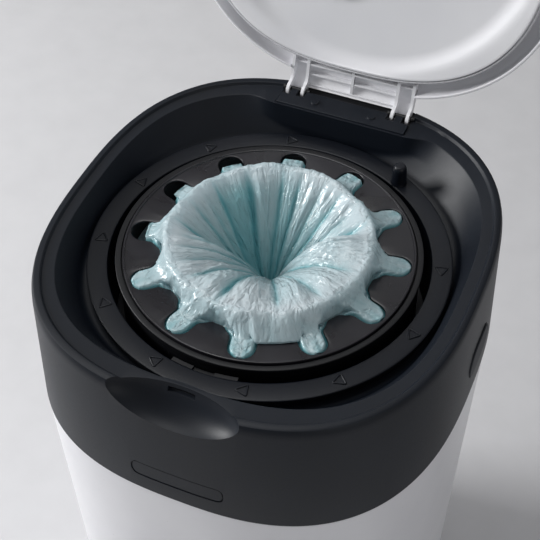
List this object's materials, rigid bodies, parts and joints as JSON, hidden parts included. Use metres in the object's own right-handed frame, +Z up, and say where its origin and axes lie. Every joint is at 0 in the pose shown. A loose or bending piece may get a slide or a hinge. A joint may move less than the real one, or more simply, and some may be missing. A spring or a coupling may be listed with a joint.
{
  "type": "nappy bin",
  "caption": "Free-standing nappy bin: tapered white tub, tilting charcoal top with finger scoop, hinged lid, sprung release button and a twisting ring that carries a film cassette.",
  "frame": {"origin": "centre of the flat underside of the tub, which stands on the floor", "axes": "+Z up, -Y towards the front with the finger scoop, +Y towards the hinges, +X to the right seen from the front"},
  "size_m": [0.2438, 0.3124, 0.6372],
  "materials": {
    "white_shell": "fine satin white polypropylene",
    "white_lid": "satin white moulded polypropylene",
    "charcoal": "satin charcoal moulded plastic",
    "ring_charcoal": "satin charcoal moulded plastic",
    "black_plastic": "matt black moulded plastic",
    "cover_gloss": "glossy near-black plastic with a faint purple cast",
    "core_white": "white moulded plastic",
    "film": "thin crinkled mint-coloured polythene film",
    "rubber": "matt dark rubber",
    "grip_rubber": "flexible dark grey elastomer",
    "seal_rubber": "pale soft elastomer",
    "grey_nylon": "mid-grey nylon",
    "steel": "plain steel"
  },
  "bodies": {
    "base": {"tub": "white_shell", "base_pads": "rubber", "lower_hinge_leaf": "white_shell", "rear_hinge_pin": "steel", "latch_keeper": "grey_nylon"},
    "top_unit": {"collar": "charcoal", "scoop_bowl": "charcoal", "hinge_block": "charcoal", "hinge_cover": "charcoal", "lid_pins": "steel", "upper_hinge_leaf": "charcoal", "chute": "black_plastic", "gripper": "grip_rubber", "click_pawl": "grey_nylon", "chute_screws": "steel", "cover_screws": "steel", "cutter_housing": "grey_nylon", "cutter_blade": "steel", "button_spring": "steel"},
    "lid": {"lid_shell": "white_lid", "lid_liner": "white_lid", "lid_seal": "seal_rubber", "lid_hinge_bar": "white_lid", "lid_catch": "white_lid", "lid_plug": "black_plastic"},
    "rotor": {"twist_ring": "ring_charcoal", "click_ring": "grey_nylon", "cassette_catch": "grey_nylon", "cassette_tub": "black_plastic", "cassette_cover": "cover_gloss", "core_ring": "core_white", "film": "film", "film_pack": "film"},
    "button": {"release_button": "ring_charcoal", "latch_hook": "grey_nylon"}
  },
  "joints": [
    {"name": "top_tilt", "type": "hinge", "parent": "base", "child": "top_unit", "pos_m": [0, 0.1368, 0.323], "axis": [-1, 0, 0], "range_deg": [0, 85]},
    {"name": "lid_hinge", "type": "hinge", "parent": "top_unit", "child": "lid", "pos_m": [0, 0.1185, 0.4003], "axis": [1, 0, 0], "range_deg": [0, 101.4]},
    {"name": "ring_twist", "type": "hinge", "parent": "top_unit", "child": "rotor", "pos_m": [0, -0.0042, 0.38], "axis": [0, 0, -1], "continuous": true},
    {"name": "button_press", "type": "slide", "parent": "top_unit", "child": "button", "axis": [-1, 0, 0], "range_m": [0, 0.003], "stiffness_N_per_m": 900, "deforming": ["button_spring"]}
  ]
}
